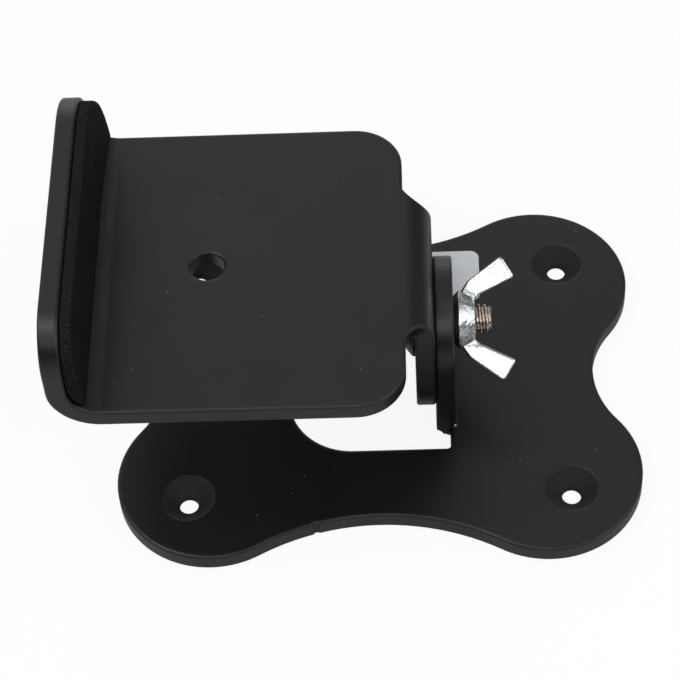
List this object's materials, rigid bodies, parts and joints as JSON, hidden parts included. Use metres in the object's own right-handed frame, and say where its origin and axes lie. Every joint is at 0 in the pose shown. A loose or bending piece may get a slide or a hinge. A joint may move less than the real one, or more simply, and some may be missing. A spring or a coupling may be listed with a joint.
{
  "type": "speaker wall bracket",
  "caption": "Swivelling wall bracket for a small loudspeaker: a lobed wall plate with a folded ear, and a padded, lipped tray clamped to it by a carriage bolt and a wing nut.",
  "frame": {"origin": "centre of the four wall screws, on the back face of the wall plate", "axes": "+Z out of the wall, +X along the swivel bolt towards the wing nut, away from the lip; in use +X points up"},
  "size_m": [0.1181, 0.09, 0.0649],
  "materials": {
    "plate_coat": "fine black powder coat",
    "tray_coat": "fine black powder coat",
    "foam": "closed cell black foam, matt",
    "bolt_steel": "zinc plated steel with a black head",
    "nut_zinc": "bright zinc plated",
    "label_film": "plain pale grey film"
  },
  "bodies": {
    "wall_plate": {"wall_plate": "plate_coat", "label": "label_film"},
    "tray": {"tray": "tray_coat", "lip_pad": "foam", "carriage_bolt": "bolt_steel"},
    "wing_nut": {"wing_nut": "nut_zinc"}
  },
  "joints": [
    {"name": "tray_swivel", "type": "hinge", "parent": "wall_plate", "child": "tray", "pos_m": [0, 0, 0.0233], "axis": [1, 0, 0], "range_deg": [-50, 50]},
    {"name": "nut_turn", "type": "hinge", "parent": "tray", "child": "wing_nut", "pos_m": [0.0163, 0, 0.0233], "axis": [1, 0, 0], "continuous": true}
  ]
}
